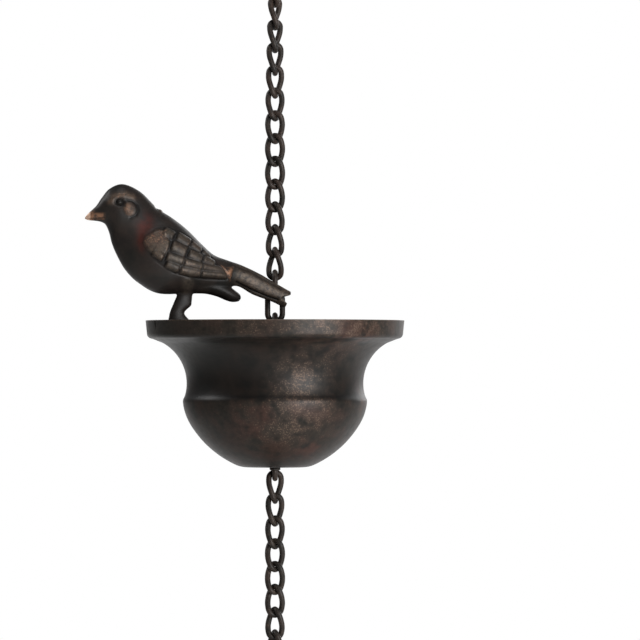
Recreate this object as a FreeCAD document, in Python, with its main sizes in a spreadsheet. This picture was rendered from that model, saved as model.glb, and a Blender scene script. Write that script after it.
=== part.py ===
"""Rain chain: four funnel cups, each with a bird on its rim, hung one below another.

Millimetres, +Z up. The origin is inside the crown of the top link, where the
chain hangs on its gutter hook, and everything else lies below it. A cup and
what is fixed to it is built in the cup's own frame, with z = 0 at the rim and
the bird facing -X, and is then turned about the chain and lowered to its place.
"""
import FreeCAD, Part
import math
import os

import Sketcher
from FreeCAD import Placement, Rotation, Vector

DOC = FreeCAD.newDocument("rain_chain")

SIZES = [
    ("wire_diameter", 2.2, "round wire of links and loops"),
    ("link_length", 13.3, "outer length of a link"),
    ("link_width", 7.9, "outer width of a link"),
    ("link_twist", 90.0, "twist between the two crowns of a link, degrees"),
    ("seat_gap", 0.1, "play between two wires that hang in each other"),
    ("top_link_count", 8, "links above the first cup"),
    ("span_link_count", 17, "links between two cups"),
    ("end_link_count", 5, "links below the last cup"),
    ("slack_turn", 10.0, "turn from link to link in the free ends, degrees"),
    ("closing_length", 12.3, "outer length of the oval that closes on a cup"),
    ("closing_width", 8.2, "outer width of that oval"),
    ("closing_lap", 4.0, "straight part of its lapped end"),
    ("closing_aside", 1.3, "lapped end beside the wire it is pressed to"),
    ("rim_radius", 50.0, "outer radius at the top of the lip"),
    ("lip_draft", 0.5, "how far the lip draws in to its foot"),
    ("lip_depth", 5.2, "straight part of the lip"),
    ("lip_corner", 2.0, "radius under the lip"),
    ("shelf_inset", 2.4, "where the shelf under the lip begins, in from the rim"),
    ("shelf_depth", 7.1, "depth of the shelf below the rim"),
    ("funnel_inset", 6.6, "where the shelf turns into the throat, in from the rim"),
    ("funnel_depth", 8.7, "depth of the end of the shelf"),
    ("throat_curve", 18.05, "radius of the throat's hollow curve"),
    ("crease_radius", 35.1, "radius of the crease between throat and bowl"),
    ("crease_depth", 30.2, "depth of that crease"),
    ("bowl_curve", 22.7, "radius of the bowl's upper curve"),
    ("bowl_radius", 29.1, "where the bowl's two curves meet"),
    ("bowl_depth", 45.1, "depth where they meet"),
    ("base_curve", 42.6, "radius of the bowl's lower curve"),
    ("base_radius", 13.1, "radius of the flat bottom"),
    ("cup_depth", 56.8, "rim to the underside of the bottom"),
    ("cup_wall", 1.2, "thickness of the spun sheet"),
    ("drain_diameter", 4.5, "drain holes in the bottom"),
    ("drain_circle", 8.4, "radius of the circle of drain holes"),
    ("drain_count", 6, "number of drain holes"),
    ("notch_width", 1.7, "split in the lip near the bird's foot"),
    ("notch_depth", 3.9, "depth of that split"),
    ("notch_turn", 8.5, "split from the bird's heading, degrees"),
    ("loop_rise", 3.1, "top of the long loop above the rim"),
    ("loop_width", 8.2, "outer width of the long loop"),
    ("loop_drop", 5.4, "bottom of the long loop below the cup"),
    ("loop_turn", 75.0, "plane of the long loop from the bird's heading, degrees"),
    ("loop_play", 0.1, "play around the loop in its two holes"),
    ("weld_top", 4.6, "weld bead where it meets the cup"),
    ("weld_foot", 3.4, "weld bead at its lower end"),
    ("weld_height", 0.9, "height of a weld bead"),
    ("bird_offset", 6.3, "bird's middle plane beside the chain"),
    ("bird_length", 81.8, "bird from beak to tail"),
    ("perch_inset", 6.0, "middle of the foot, in from the rim"),
    ("body_swell", 10.3, "half of the bird's greatest width"),
    ("wing_rise", 1.0, "wing above the body"),
    ("feather_rise", 0.6, "feather above the wing"),
    ("feather_gap", 0.5, "groove between two feathers"),
    ("feather_root", 1.6, "feather let into the wing"),
    ("leg_spread", 2.7, "leg from the bird's middle plane"),
    ("leg_thickness", 2.6, "leg measured across the bird"),
    ("foot_length", 7.6, "foot measured along the bird"),
    ("foot_play", 0.1, "solder film under a foot"),
    ("eye_diameter", 2.6, "bead of the eye"),
    ("ear_diameter", 6.2, "round patch behind the eye"),
]

SHEET = DOC.addObject("Spreadsheet::Sheet", "Sizes")
for row, (alias, value, note) in enumerate(SIZES, start=1):
    SHEET.set("A%d" % row, alias.replace("_", " "))
    SHEET.set("B%d" % row, str(value))
    SHEET.set("C%d" % row, note)
    SHEET.setAlias("B%d" % row, alias)
DOC.recompute()


def size(alias):
    """Value of one named size."""
    return float(SHEET.get(alias))


X_WAY = Vector(1, 0, 0)
Y_WAY = Vector(0, 1, 0)
Z_WAY = Vector(0, 0, 1)

WIRE = size("wire_diameter")
SEAT = WIRE + size("seat_gap")
LINK_HALF = (size("link_length") - WIRE) / 2
CLOSING_HALF = (size("closing_length") - WIRE) / 2
PITCH = 2 * LINK_HALF - SEAT
QUARTER = size("link_twist") / 2
LOOP_HALF = (size("loop_width") - WIRE) / 2

# Heights in a cup's frame: crowns of the loop, middles of the links that follow.
LOOP_TOP = size("loop_rise") - WIRE / 2
LOOP_BOTTOM = WIRE / 2 - size("cup_depth") - size("loop_drop")
TAIL_LINK_MIDDLE = LOOP_TOP - SEAT + LINK_HALF
CLOSING_MIDDLE = TAIL_LINK_MIDDLE + LINK_HALF - SEAT + CLOSING_HALF
LAST_LINK_MIDDLE = CLOSING_MIDDLE + CLOSING_HALF - SEAT + LINK_HALF
FIRST_LINK_MIDDLE = LOOP_BOTTOM + SEAT - LINK_HALF

# Turns in a cup's frame: each crown stands square to the crown it hangs in.
LINK_TURN_ABOVE = size("loop_turn") - 90 - QUARTER
LINK_TURN_BELOW = size("loop_turn") + 90 + QUARTER

# Heading of each bird, turned from -X, from the top cup down.
BIRD_TURNS = (95.0, 15.0, -81.0, 41.0)

# The bird's side view, beak to tail: top point, bottom point and half of the
# width there as a share of the swell.
BIRD_STATIONS = [
    ((-76.9, 39.8), (-76.9, 38.8), 0.04),
    ((-75.1, 41.6), (-74.9, 38.3), 0.11),
    ((-72.3, 44.2), (-72.7, 38.0), 0.21),
    ((-70.0, 48.2), (-70.6, 37.7), 0.33),
    ((-67.0, 50.7), (-68.8, 36.8), 0.45),
    ((-62.1, 52.1), (-67.3, 33.5), 0.56),
    ((-55.3, 49.0), (-65.9, 29.0), 0.61),
    ((-48.4, 42.8), (-63.5, 23.9), 0.72),
    ((-42.5, 39.1), (-60.1, 18.8), 0.90),
    ((-36.6, 34.6), (-55.3, 14.3), 1.00),
    ((-30.8, 29.0), (-47.7, 10.3), 0.94),
    ((-26.0, 25.0), (-35.8, 10.2), 0.70),
    ((-20.3, 22.9), (-24.5, 10.5), 0.46),
    ((-14.6, 21.0), (-17.3, 13.1), 0.29),
    ((-7.4, 17.7), (-10.3, 9.7), 0.22),
    ((0.8, 13.1), (-2.5, 6.9), 0.20),
    ((4.9, 10.9), (2.2, 4.6), 0.18),
]

# Outline of the folded wing, from its tip over the shoulder and back.
WING_OUTLINE = [
    (-21.5, 17.1), (-25.0, 21.6), (-30.8, 26.2), (-36.6, 31.2), (-42.5, 34.0), (-50.6, 35.2),
    (-56.9, 29.5), (-51.9, 24.4), (-47.1, 20.5), (-41.3, 17.4), (-31.9, 16.0), (-21.5, 17.1),
]
# Feathers of the folded wing: middle, length, width and slope in degrees.
FEATHERS = [
    (-45.7, 32.9, 3.9, 3.3, -32), (-39.9, 30.6, 5.6, 3.4, -30), (-34.7, 27.9, 4.6, 2.8, -32),
    (-42.1, 27.0, 6.0, 4.1, -24), (-35.5, 24.3, 5.6, 3.2, -24), (-29.7, 22.4, 4.9, 2.5, -24),
    (-50.2, 24.5, 4.0, 2.4, -30), (-43.7, 23.3, 6.6, 3.3, -17), (-36.5, 21.1, 7.4, 3.1, -13),
    (-27.6, 19.6, 9.7, 2.3, -8), (-44.7, 20.2, 5.2, 3.0, -22), (-37.5, 18.4, 8.1, 2.9, -9),
]

LEG_TOP = (-37.5, 12.0, 7.0)
LEG_FOOT = (-44.0, -16.0)
RUMP = (-20.5, 10.2, 7.0, 2.6, 2.8, 12.0)
TAIL_NOTCH = [(6.5, 10.0), (1.6, 7.6), (6.5, 2.0)]
EYE_SPOT = (-63.6, 45.1)
EAR_SPOT = (-59.2, 42.5)
EYE_SHARE = 0.47

# The tables above are drawn with the foot at their own place: their scale and shift.
BIRD_SCALE = size("bird_length") / (BIRD_STATIONS[-1][0][0] - BIRD_STATIONS[0][0][0])
PERCH = size("perch_inset") - size("rim_radius")


def solid_feature(label, shape, placement=None):
    """Document object that holds one shape, or a group of separate solids."""
    feature = DOC.addObject("Part::Feature", label)
    feature.Label = label
    feature.Shape = shape
    if placement is not None:
        feature.Placement = placement * shape.Placement
    return feature


def turned(angle, height):
    """Placement turned about the chain and moved along it."""
    return Placement(Vector(0, 0, height), Rotation(Z_WAY, angle))


# Wire pieces


def tangent_arcs(start, start_way, end, end_way):
    """Two arcs, tangent to each other, from one point and direction to another."""
    chord = end - start
    bend = 2 * (1 - start_way.dot(end_way))
    along = chord.dot(start_way + end_way)
    reach = (math.sqrt(along * along + bend * chord.dot(chord)) - along) / bend
    first = start + start_way * reach
    second = end - end_way * reach
    joint = (first + second) * 0.5
    joint_way = (second - first).normalize()
    return [(start, start_way, joint), (joint, joint_way, end)]


def round_wire(start, way, end):
    """Round wire along the arc that leaves start along way and ends at end."""
    chord = end - start
    normal = way.cross(chord).normalize()
    inward = normal.cross(way).normalize()
    radius = chord.dot(chord) / (2 * chord.dot(inward))
    sweep = math.degrees(2 * way.getAngle(chord))
    disc = Part.Face(Part.Wire(Part.makeCircle(WIRE / 2, start, way)))
    return disc.revolve(start + inward * radius, normal, sweep)


def twisted_link():
    """Link of four like quarters: a stadium of wire twisted about its length."""
    width = (size("link_width") - WIRE) / 2
    twist = math.radians(size("link_twist")) / (2 * LINK_HALF)
    lead = math.radians(QUARTER)
    crown = Vector(0, 0, LINK_HALF)
    crown_way = Vector(math.cos(lead), -math.sin(lead), 0)
    side = Vector(width, 0, 0)
    side_way = Vector(0, width * twist, -1).normalize()
    quarter = [round_wire(*arc) for arc in tangent_arcs(crown, crown_way, side, side_way)]
    upper = quarter + [arc.rotated(Vector(), Z_WAY, 180) for arc in quarter]
    lower = [arc.rotated(Vector(), X_WAY, 180) for arc in upper]
    return upper[0].fuse(upper[1:] + lower).Solids[0]


def flat_oval(half_width, bottom, top):
    """Closed oval of wire in one plane, between two crown heights."""
    low = bottom + half_width
    rise = Vector(0, 0, top - bottom - 2 * half_width)
    disc = Part.Face(Part.Wire(Part.makeCircle(WIRE / 2, Vector(half_width, 0, low), Z_WAY)))
    leg = disc.extrude(rise)
    crown = disc.translated(rise).revolve(Vector(0, 0, low) + rise, Y_WAY * -1, 180)
    hook = disc.revolve(Vector(0, 0, low), Y_WAY, 180)
    return leg.fuse([leg.rotated(Vector(), Z_WAY, 180), crown, hook]).Solids[0]


def tail_link():
    """Plain link that the long loop hangs in, beside the bird's tail."""
    return flat_oval((size("link_width") - WIRE) / 2, -LINK_HALF, LINK_HALF)


def closing_link():
    """Plain link with one end of its wire lapped beside the other."""
    half = (size("closing_width") - WIRE) / 2
    ring = flat_oval(half, -CLOSING_HALF, CLOSING_HALF)
    low = Vector(half + size("closing_aside"), 0, -size("closing_lap") / 2)
    high = low + Z_WAY * size("closing_lap")
    lap = Part.makeCylinder(WIRE / 2, size("closing_lap"), low)
    ends = [Part.makeSphere(WIRE / 2, spot) for spot in (low, high)]
    return ring.fuse([lap] + ends).Solids[0]


def chain_run(label, link, middle, turn, count, step):
    """Links that hang in each other, from the top one down."""
    links = []
    for place in range(int(count)):
        spot = turned(turn + place * step, middle - place * PITCH)
        links.append(link.transformed(spot.toMatrix()))
    return solid_feature(label, Part.makeCompound(links))


def long_loop():
    """Closed loop of wire that passes through a cup's bottom and carries it."""
    return flat_oval(LOOP_HALF, LOOP_BOTTOM, LOOP_TOP)


def weld_beads():
    """Beads of weld that hold the loop's two legs under the cup."""
    beads = []
    for side in (-1, 1):
        foot = Vector(side * LOOP_HALF, 0, -size("cup_depth") - size("weld_height"))
        bead = Part.makeCone(size("weld_foot") / 2, size("weld_top") / 2, size("weld_height"), foot)
        bore = Part.makeCylinder(WIRE / 2, size("weld_height"), foot)
        beads.append(bead.cut(bore))
    return Part.makeCompound(beads)


# Cup


def origin_plane(body, role):
    """One of a body's own origin planes."""
    return next(item for item in body.Origin.OriginFeatures if item.Role == role)


def new_sketch(body, name, role):
    """Empty sketch on one of a body's origin planes."""
    sketch = body.newObject("Sketcher::SketchObject", name)
    sketch.AttachmentSupport = (origin_plane(body, role), [""])
    sketch.MapMode = "FlatFace"
    return sketch


def bind(sketch, constraint, formula):
    """Add a constraint and tie its value to the sheet."""
    index = sketch.addConstraint(constraint)
    sketch.setExpression("Constraints[%d]" % index, formula)


def arc_between(start, end, radius):
    """Arc that bends to the left of the way from start to end."""
    chord = end - start
    middle = (start + end) * 0.5
    left = Vector(-chord.y, chord.x, 0).normalize()
    rise = math.sqrt(radius * radius - chord.dot(chord) / 4)
    centre = middle + left * rise
    circle = Part.Circle(centre, Z_WAY, radius)
    return Part.ArcOfCircle(circle, circle.parameter(start), circle.parameter(end))


def wall_section(body):
    """Half section of the cup's wall: the outside, and the inside a wall away from it."""
    sketch = new_sketch(body, "Wall_" + body.Label, "XZ_Plane")
    corners = [
        ("0", "-Sizes.cup_depth"),
        ("Sizes.base_radius", "-Sizes.cup_depth"),
        ("Sizes.bowl_radius", "-Sizes.bowl_depth"),
        ("Sizes.crease_radius", "-Sizes.crease_depth"),
        ("Sizes.rim_radius - Sizes.funnel_inset", "-Sizes.funnel_depth"),
        ("Sizes.rim_radius - Sizes.shelf_inset", "-Sizes.shelf_depth"),
        ("Sizes.rim_radius - Sizes.lip_draft", "-Sizes.lip_depth"),
        ("Sizes.rim_radius", "0"),
    ]
    outer = [
        Vector(0, -size("cup_depth"), 0),
        Vector(size("base_radius"), -size("cup_depth"), 0),
        Vector(size("bowl_radius"), -size("bowl_depth"), 0),
        Vector(size("crease_radius"), -size("crease_depth"), 0),
        Vector(size("rim_radius") - size("funnel_inset"), -size("funnel_depth"), 0),
        Vector(size("rim_radius") - size("shelf_inset"), -size("shelf_depth"), 0),
        Vector(size("rim_radius") - size("lip_draft"), -size("lip_depth"), 0),
        Vector(size("rim_radius"), 0, 0),
    ]
    wall = size("cup_wall")
    inner = [
        outer[0] + Vector(0, wall, 0),
        outer[1] + Vector(-0.1 * wall, wall, 0),
        outer[2] + Vector(-0.7 * wall, 0.7 * wall, 0),
        outer[3] + Vector(-wall, 0.1 * wall, 0),
        outer[4] + Vector(-0.5 * wall, 0.9 * wall, 0),
        Vector(outer[6].x - wall, outer[5].y + 2 * wall, 0),
        outer[7] - Vector(wall, 0, 0),
    ]
    curves = {1: "base_curve", 2: "bowl_curve", 3: "throat_curve", 5: "lip_corner"}
    hollow = (3,)

    def chain(spots, bends, offset):
        """Edges through the spots in order, as (edge, first end, last end)."""
        ends = []
        for place, (start, end) in enumerate(zip(spots, spots[1:])):
            if place not in bends:
                edge = sketch.addGeometry(Part.LineSegment(start, end))
                ends.append((edge, 1, 2))
            elif place in hollow:
                edge = sketch.addGeometry(arc_between(end, start, size(curves[place]) + offset))
                ends.append((edge, 2, 1))
            else:
                edge = sketch.addGeometry(arc_between(start, end, size(curves[place]) - offset))
                ends.append((edge, 1, 2))
        for (edge, _, last), (after, first, _) in zip(ends, ends[1:]):
            sketch.addConstraint(Sketcher.Constraint("Coincident", edge, last, after, first))
        return ends

    outside = chain(outer, curves, 0)
    inside = chain(inner, {1, 2, 3}, wall)
    top = sketch.addGeometry(Part.LineSegment(outer[-1], inner[-1]))
    axis = sketch.addGeometry(Part.LineSegment(inner[0], outer[0]))
    for pair in ((outside[-1][0], 2, top, 1), (top, 2, inside[-1][0], 2),
                 (axis, 1, inside[0][0], 1), (axis, 2, outside[0][0], 1)):
        sketch.addConstraint(Sketcher.Constraint("Coincident", *pair))
    for place, alias in curves.items():
        bind(sketch, Sketcher.Constraint("Radius", outside[place][0], size(alias)), "Sizes." + alias)
    spots = [(edge, first) for edge, first, _ in outside] + [(outside[-1][0], 2)]
    for head, spot, (across, up) in zip(spots, outer, corners):
        if across == "0":
            sketch.addConstraint(Sketcher.Constraint("PointOnObject", *head, -2))
        else:
            bind(sketch, Sketcher.Constraint("DistanceX", *head, spot.x), across)
        if up == "0":
            sketch.addConstraint(Sketcher.Constraint("PointOnObject", *head, -1))
        else:
            bind(sketch, Sketcher.Constraint("DistanceY", *head, spot.y), up)

    sketch.addConstraint(Sketcher.Constraint("PointOnObject", inside[0][0], 1, -2))
    sketch.addConstraint(Sketcher.Constraint("PointOnObject", inside[-1][0], 2, -1))
    for place, sign in ((1, "-"), (2, "-"), (3, "+")):
        edge = inside[place][0]
        sketch.addConstraint(Sketcher.Constraint("Coincident", edge, 3, outside[place][0], 3))
        radius = sketch.Geometry[edge].Radius
        formula = "Sizes.%s %s Sizes.cup_wall" % (curves[place], sign)
        bind(sketch, Sketcher.Constraint("Radius", edge, radius), formula)
    for place, partner in ((0, 0), (4, 4), (5, 6)):
        edge = inside[place][0]
        across = outside[partner][0]
        sketch.addConstraint(Sketcher.Constraint("Parallel", edge, across))
        bind(sketch, Sketcher.Constraint("Distance", edge, 2, across, wall), "Sizes.cup_wall")
    return sketch


def round_holes(body, name, angles, circle_alias, circle_formula, radius_formula):
    """Sketch of round holes on a circle about the axis."""
    sketch = new_sketch(body, name, "XY_Plane")
    for angle in angles:
        lean = math.radians(angle)
        spot = Vector(circle_alias * math.cos(lean), circle_alias * math.sin(lean), 0)
        hole = sketch.addGeometry(Part.Circle(spot, Z_WAY, 1.0))
        bind(sketch, Sketcher.Constraint("Radius", hole, 1.0), radius_formula)
        across = "(%s) * cos(%r deg)" % (circle_formula, angle)
        along = "(%s) * sin(%r deg)" % (circle_formula, angle)
        bind(sketch, Sketcher.Constraint("DistanceX", hole, 3, spot.x), across)
        bind(sketch, Sketcher.Constraint("DistanceY", hole, 3, spot.y), along)
    return sketch


def pocket(body, name, sketch):
    """Cut a sketch through everything below it."""
    cut = body.newObject("PartDesign::Pocket", name)
    cut.Profile = sketch
    cut.Type = "ThroughAll"
    return cut


def spun_cup(label, placement):
    """Cup spun from sheet: revolved, hollowed, drilled and split at the lip."""
    body = DOC.addObject("PartDesign::Body", label)
    body.Label = label
    turn = body.newObject("PartDesign::Revolution", "Turn_" + label)
    turn.Profile = wall_section(body)
    turn.ReferenceAxis = (turn.Profile[0], ["V_Axis"])
    turn.Angle = 360
    DOC.recompute()

    drain = round_holes(body, "Drain_" + label, (0.0,), size("drain_circle"),
                        "Sizes.drain_circle", "Sizes.drain_diameter / 2")
    first_drain = pocket(body, "FirstDrain_" + label, drain)
    ring = body.newObject("PartDesign::PolarPattern", "Drains_" + label)
    ring.Originals = [first_drain]
    ring.Axis = (drain, ["N_Axis"])
    ring.Angle = 360
    ring.setExpression("Occurrences", "Sizes.drain_count")
    body.Tip = ring
    DOC.recompute()

    plane = size("loop_turn") - size("notch_turn")
    legs = round_holes(body, "LegHoles_" + label, (plane, plane + 180), LOOP_HALF,
                       "(Sizes.loop_width - Sizes.wire_diameter) / 2",
                       "Sizes.wire_diameter / 2 + Sizes.loop_play")
    pocket(body, "LegBores_" + label, legs)

    split = new_sketch(body, "Split_" + label, "YZ_Plane")
    half = size("notch_width") / 2
    points = [Vector(-half, 0, 0), Vector(0, -size("notch_depth"), 0), Vector(half, 0, 0)]
    for start, end in zip(points, points[1:] + points[:1]):
        split.addGeometry(Part.LineSegment(start, end))
    for edge in range(3):
        split.addConstraint(Sketcher.Constraint("Coincident", edge, 2, (edge + 1) % 3, 1))
    split.addConstraint(Sketcher.Constraint("PointOnObject", 0, 1, -1))
    split.addConstraint(Sketcher.Constraint("PointOnObject", 2, 1, -1))
    split.addConstraint(Sketcher.Constraint("PointOnObject", 1, 1, -2))
    bind(split, Sketcher.Constraint("DistanceX", 0, 1, -half), "-Sizes.notch_width / 2")
    bind(split, Sketcher.Constraint("DistanceX", 2, 1, half), "Sizes.notch_width / 2")
    bind(split, Sketcher.Constraint("DistanceY", 1, 1, -size("notch_depth")), "-Sizes.notch_depth")
    pocket(body, "LipSplit_" + label, split)
    body.Placement = placement
    DOC.recompute()
    return body


# Bird


def oval(centre, tall_half, wide_half, up):
    """Elliptical ring across the bird, always begun at its top."""
    level = Y_WAY.cross(up)
    frame = FreeCAD.Matrix(
        up.x * tall_half, 0, level.x, centre.x,
        up.y * tall_half, wide_half, level.y, centre.y,
        up.z * tall_half, 0, level.z, centre.z,
        0, 0, 0, 1,
    )
    return Part.Wire(Part.makeCircle(1.0).transformGeometry(frame))


def drawn(x, z):
    """Spot of the bird's side view, at its size and place."""
    return Vector(PERCH + (x - LEG_FOOT[0]) * BIRD_SCALE, 0, z * BIRD_SCALE)


def station_ring(station, extra):
    """Ring at one station of the side view, widened by extra."""
    top_spot, low_spot, share = station
    top = drawn(*top_spot)
    low = drawn(*low_spot)
    up = (top - low).normalize()
    return oval((top + low) * 0.5, (top - low).Length / 2, share * size("body_swell") + extra, up)


def bird_body(extra):
    """Smooth body through its stations, widened by extra on both sides."""
    rings = [station_ring(station, extra) for station in BIRD_STATIONS]
    return Part.makeLoft(rings, True, False)


def side_prism(points, smooth):
    """Side-view outline carried right across the bird."""
    reach = 2 * size("body_swell")
    spots = [drawn(x, z) - Y_WAY * reach for x, z in points]
    if smooth:
        curve = Part.BSplineCurve()
        curve.interpolate(spots)
        wire = Part.Wire(curve.toShape())
    else:
        wire = Part.makePolygon(spots + spots[:1])
    return Part.Face(wire).extrude(Y_WAY * 2 * reach)


def wings():
    """Folded wings: a pad raised on each flank, inside one outline."""
    return bird_body(size("wing_rise")).common(side_prism(WING_OUTLINE, True))


def flank(shape, spot):
    """Outermost point of a shape straight across from a spot of the side view."""
    line = Part.makeLine(spot, spot + Y_WAY * 2 * size("body_swell"))
    return spot + Y_WAY * line.common(shape).BoundBox.YMax


def feathers():
    """Flat tiles that follow the wing, with grooves left between them."""
    wing = bird_body(size("wing_rise"))
    gap = size("feather_gap")
    tiles = []
    depth = size("feather_rise") + size("feather_root")
    for x, z, length, width, slope in FEATHERS:
        middle = drawn(x, z)
        lean = math.radians(slope)
        run = Vector(math.cos(lean), 0, math.sin(lean)) * ((length * BIRD_SCALE - gap) / 2)
        rise = Vector(-math.sin(lean), 0, math.cos(lean)) * ((width * BIRD_SCALE - gap) / 2)
        spots = [flank(wing, middle - run - rise), flank(wing, middle + run - rise),
                 flank(wing, middle + run + rise)]
        spots.append(spots[0] + spots[2] - spots[1])
        outer = [spot + Y_WAY * size("feather_rise") for spot in spots]
        tile = Part.Face(Part.makePolygon(outer + outer[:1])).extrude(Y_WAY * -depth)
        tiles += [tile, tile.mirror(Vector(), Y_WAY)]
    return tiles


def legs(shelf):
    """Two legs that widen to the feet, each trimmed to the shelf it stands on."""
    top_x, top_z, top_length = LEG_TOP
    top = drawn(top_x, top_z)
    foot = drawn(*LEG_FOOT)
    wide = size("leg_thickness") / 2
    pair = []
    for side in (-1, 1):
        rings = []
        aside = Y_WAY * side * size("leg_spread")
        for spot, length in ((top, top_length * BIRD_SCALE), (foot, size("foot_length"))):
            rings.append(oval(spot + aside, length / 2, wide, X_WAY))
        pieces = Part.makeLoft(rings, True, True).cut(shelf).Solids
        pair.append(max(pieces, key=lambda piece: piece.CenterOfMass.z))
    return pair


def rump():
    """Egg-shaped tuft under the root of the tail."""
    x, z, long_half, wide_half, tall_half, lean = RUMP
    matrix = FreeCAD.Matrix()
    matrix.scale(Vector(long_half, wide_half, tall_half) * BIRD_SCALE)
    egg = Part.makeSphere(1.0).transformGeometry(matrix)
    egg.rotate(Vector(), Y_WAY, lean)
    egg.translate(drawn(x, z))
    return egg


def perched_bird(shell):
    """One casting: beak to tail, wings, legs and the beads of the eyes."""
    aside = Vector(0, -size("bird_offset"), 0)
    shelf = shell.translated(Vector(0, 0, size("foot_play")) - aside)
    reach = 2 * size("body_swell")
    ear_foot = drawn(*EAR_SPOT) - Y_WAY * reach
    ear = Part.makeCylinder(size("ear_diameter") / 2, 2 * reach, ear_foot, Y_WAY)
    ears = bird_body(size("feather_rise")).common(ear)
    eye_half = EYE_SHARE * size("body_swell")
    eye = Part.makeSphere(size("eye_diameter") / 2, drawn(*EYE_SPOT))
    eyes = [eye.translated(Y_WAY * side * eye_half) for side in (-1, 1)]
    bird = bird_body(0).fuse([wings(), ears, rump()] + feathers() + legs(shelf) + eyes)
    bird = bird.cut(side_prism(TAIL_NOTCH, False))
    return bird.Solids[0].translated(aside)


# The whole chain, from the top down


link = twisted_link()

parts = []
rim = WIRE / 2 - (size("top_link_count") - 1) * PITCH - LINK_HALF - LAST_LINK_MIDDLE
turn = BIRD_TURNS[0] + LINK_TURN_ABOVE + (size("top_link_count") - 1) * size("slack_turn")
parts.append(chain_run("chain_1", link, WIRE / 2 - LINK_HALF, turn, size("top_link_count"),
                       -size("slack_turn")))
bird = None
for number, heading in enumerate(BIRD_TURNS, start=1):
    frame = turned(heading, rim)
    cup = spun_cup("cup_%d" % number, turned(heading + size("notch_turn"), rim))
    parts.append(cup)
    if bird is None:
        bird = perched_bird(cup.Tip.Shape)
    parts.append(solid_feature("bird_%d" % number, bird, frame))
    plane = heading + size("loop_turn")
    parts.append(solid_feature("long_loop_%d" % number, long_loop(), turned(plane, rim)))
    parts.append(solid_feature("weld_beads_%d" % number, weld_beads(), turned(plane, rim)))
    tail_place = turned(plane - 90, rim + TAIL_LINK_MIDDLE)
    parts.append(solid_feature("tail_link_%d" % number, tail_link(), tail_place))
    closing_place = turned(plane, rim + CLOSING_MIDDLE)
    parts.append(solid_feature("closing_link_%d" % number, closing_link(), closing_place))
    start = heading + LINK_TURN_BELOW
    if number < len(BIRD_TURNS):
        count = size("span_link_count")
        wanted = BIRD_TURNS[number] + LINK_TURN_ABOVE - start
        step = ((wanted + 45) % 180 - 225) / (count - 1)
    else:
        count = size("end_link_count")
        step = -size("slack_turn")
    parts.append(chain_run("chain_%d" % (number + 1), link, rim + FIRST_LINK_MIDDLE, start, count, step))
    rim += FIRST_LINK_MIDDLE - (count - 1) * PITCH - LAST_LINK_MIDDLE

DOC.recompute()
for item in DOC.Objects:
    if "Invalid" in item.State or "Error" in item.State:
        raise RuntimeError("%s: %s" % (item.Label, item.State))
os.makedirs("parts", exist_ok=True)
for item in parts:
    if item.Shape.isNull() or not item.Shape.isValid():
        raise RuntimeError("%s has a bad shape" % item.Label)
    item.Shape.exportStep("parts/%s.step" % item.Label)
    print(item.Label, round(item.Shape.Volume, 1), len(item.Shape.Solids))
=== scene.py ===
"""Rain chain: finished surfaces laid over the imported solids, with light, floor and camera.

Every length is in millimetres until a mesh is written, and heights in a cup's own frame are
measured from its rim. A cup, its bird and its wire pieces are shaped once in that frame, with the
bird facing -X, and are then turned about the chain and lowered to each cup's place.
"""
import logging
import math
from dataclasses import dataclass, field
from enum import Enum
from functools import partial
from typing import Sequence

import bpy
import numpy as np
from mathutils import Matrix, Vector


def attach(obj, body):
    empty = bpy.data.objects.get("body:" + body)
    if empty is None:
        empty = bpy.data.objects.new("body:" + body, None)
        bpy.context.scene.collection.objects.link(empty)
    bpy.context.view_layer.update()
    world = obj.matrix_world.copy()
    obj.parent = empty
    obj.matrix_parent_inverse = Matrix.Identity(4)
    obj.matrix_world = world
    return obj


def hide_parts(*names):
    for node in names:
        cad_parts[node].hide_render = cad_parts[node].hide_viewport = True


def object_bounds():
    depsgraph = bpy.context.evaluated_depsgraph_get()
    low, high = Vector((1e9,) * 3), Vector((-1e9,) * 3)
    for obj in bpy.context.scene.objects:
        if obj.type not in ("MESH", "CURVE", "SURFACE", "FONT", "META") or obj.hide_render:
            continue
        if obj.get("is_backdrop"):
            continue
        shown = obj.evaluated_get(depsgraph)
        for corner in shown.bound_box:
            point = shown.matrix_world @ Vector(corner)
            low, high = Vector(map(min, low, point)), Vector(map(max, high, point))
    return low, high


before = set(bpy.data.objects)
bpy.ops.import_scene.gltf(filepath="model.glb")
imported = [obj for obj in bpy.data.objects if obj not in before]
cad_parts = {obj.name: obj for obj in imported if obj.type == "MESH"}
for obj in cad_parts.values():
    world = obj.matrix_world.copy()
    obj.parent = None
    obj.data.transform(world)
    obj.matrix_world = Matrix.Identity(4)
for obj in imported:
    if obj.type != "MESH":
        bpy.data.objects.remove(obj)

LOG = logging.getLogger("rain_chain")
Array = np.ndarray
Pair = tuple[float, float]
Tree = bpy.types.NodeTree
Socket = bpy.types.NodeSocket

# Point values: rubbing and polish, both with painted sheen, stains, bare edges, and painted shade
# in recesses.
POINT_VALUES = ("rub", "stain", "edge", "polish", "recess")
MM = 0.001
# The photograph's frame: the chain's axis, the framed cup's rim and the scale there.
CHAIN_AXIS_PIXEL = 275.0
RIM_PIXEL = 320.3
MM_PER_PIXEL = 0.3865
FRAME_PIXELS = 640
SENSOR_MM = 36.0
CAMERA_DISTANCE = 2.0
CAMERA_DROP_MM = 18.0
FRAMED_CUP = 2


class Slot(Enum):
    """Material slots of the record."""

    CHAIN = "chain"
    CUP = "cup"
    BIRD = "bird"


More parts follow.
